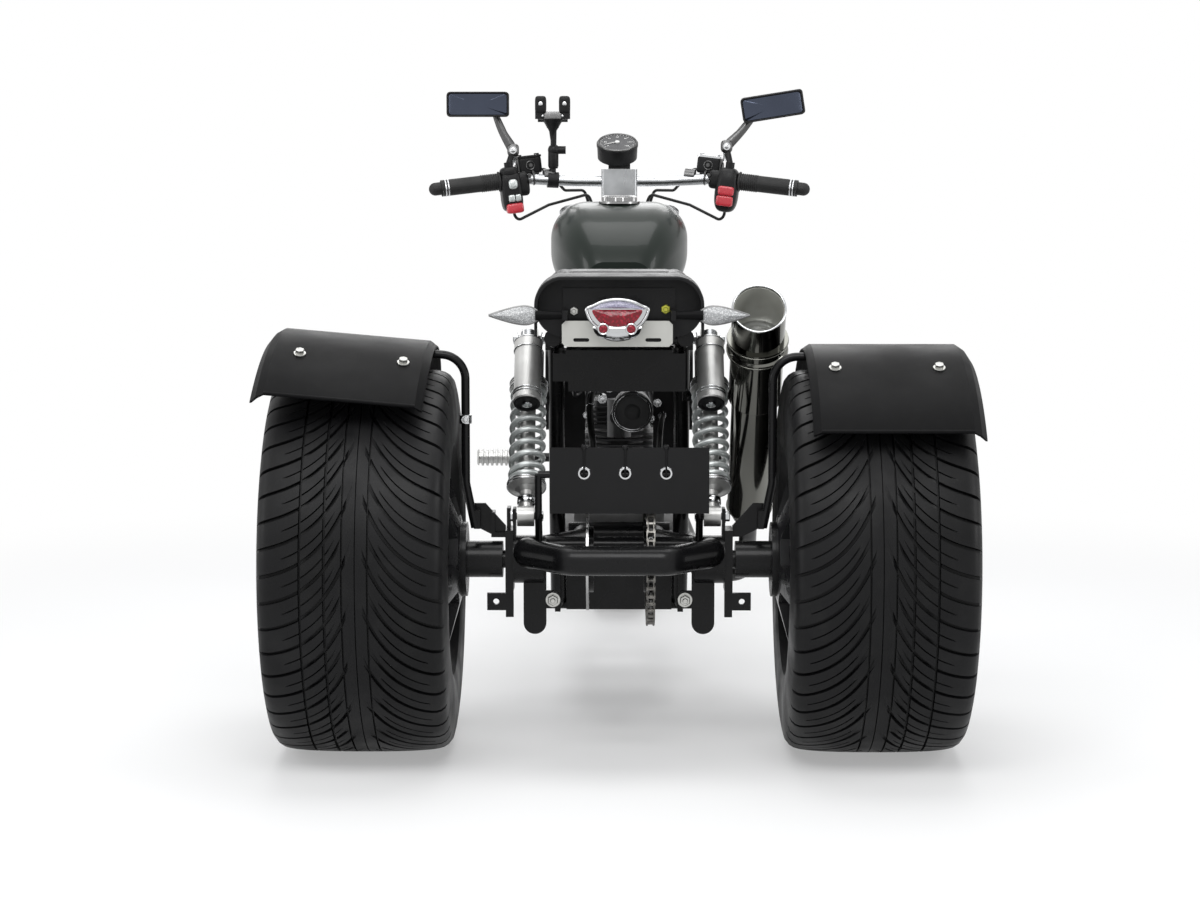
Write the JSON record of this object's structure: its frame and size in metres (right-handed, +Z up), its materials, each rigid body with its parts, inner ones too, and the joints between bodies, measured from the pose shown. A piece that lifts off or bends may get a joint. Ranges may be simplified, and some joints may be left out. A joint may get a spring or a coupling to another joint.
{
  "type": "motorized trike",
  "caption": "Chopper-style motor trike: wide tyres on a live chain-driven rear axle, coil shocks, high tail and a raked front fork.",
  "frame": {"origin": "middle of the box round the trike, on the floor that its tyres stand on", "axes": "+Y to the vehicle's rear along its length, +X to its left, +Z up"},
  "size_m": [1.1629, 1.9824, 1.1212],
  "materials": {
    "tyre": "matt",
    "wheel_paint": "satin",
    "frame_paint": "satin",
    "gloss_paint": "gloss",
    "fender_satin": "satin",
    "seat_vinyl": "grained",
    "polished_metal": "polished",
    "spring_steel": "polished",
    "dark_metal": "satin",
    "cast_metal": "cast",
    "black_plastic": "moulded",
    "grip_rubber": "matt",
    "plate_metal": "satin",
    "lamp_lens": "clear",
    "mirror_shell": "gloss"
  },
  "bodies": {
    "chassis": {"battery_box": "frame_paint", "belly_plate": "frame_paint", "carburettor": "cast_metal", "chain": "dark_metal", "engine_case": "cast_metal", "engine_cylinder": "cast_metal", "exhaust_pipe": "dark_metal", "fender_left": "fender_satin", "fender_right": "fender_satin", "fender_stay_left": "frame_paint", "fender_stay_right": "frame_paint", "foot_pegs": "cast_metal", "frame": "frame_paint", "fuel_tank": "gloss_paint", "light_bracket": "frame_paint", "muffler": "polished_metal", "plate_bracket": "plate_metal", "rear_guard": "frame_paint", "rear_signals": "lamp_lens", "seat": "seat_vinyl", "shock_left": "polished_metal", "shock_right": "polished_metal", "side_covers": "frame_paint", "splash_flap": "black_plastic", "spring_left": "spring_steel", "spring_right": "spring_steel", "swinging_fork": "frame_paint", "tail_cover": "frame_paint", "tail_light": "lamp_lens"},
    "steering": {"cables": "black_plastic", "fork": "polished_metal", "fork_sliders": "cast_metal", "front_caliper": "cast_metal", "front_fender": "gloss_paint", "front_spindle": "dark_metal", "gauge": "black_plastic", "grips": "grip_rubber", "handlebar": "polished_metal", "headlight": "gloss_paint", "levers": "black_plastic", "mirror_left": "mirror_shell", "mirror_right": "mirror_shell", "phone_holder": "black_plastic", "riser_clamp": "polished_metal", "switch_pods": "black_plastic"},
    "front_wheel_set": {"front_brake_disc": "dark_metal", "front_tyre": "tyre", "front_wheel": "wheel_paint"},
    "rear_axle_set": {"rear_axle": "frame_paint", "rear_brake_disc": "dark_metal", "rear_tyre_left": "tyre", "rear_tyre_right": "tyre", "rear_wheel_left": "wheel_paint", "rear_wheel_right": "wheel_paint", "sprocket": "dark_metal"}
  },
  "joints": [
    {"name": "steering_turn", "type": "hinge", "parent": "chassis", "child": "steering", "pos_m": [0, -0.39819, 0.77976], "axis": [0, 0.5, 0.866], "range_deg": [-38, 38]},
    {"name": "front_wheel_spin", "type": "hinge", "parent": "steering", "child": "front_wheel_set", "pos_m": [0, -0.7485, 0.243], "axis": [1, 0, 0], "continuous": true},
    {"name": "rear_axle_spin", "type": "hinge", "parent": "chassis", "child": "rear_axle_set", "pos_m": [0, 0.6715, 0.32], "axis": [1, 0, 0], "continuous": true}
  ]
}
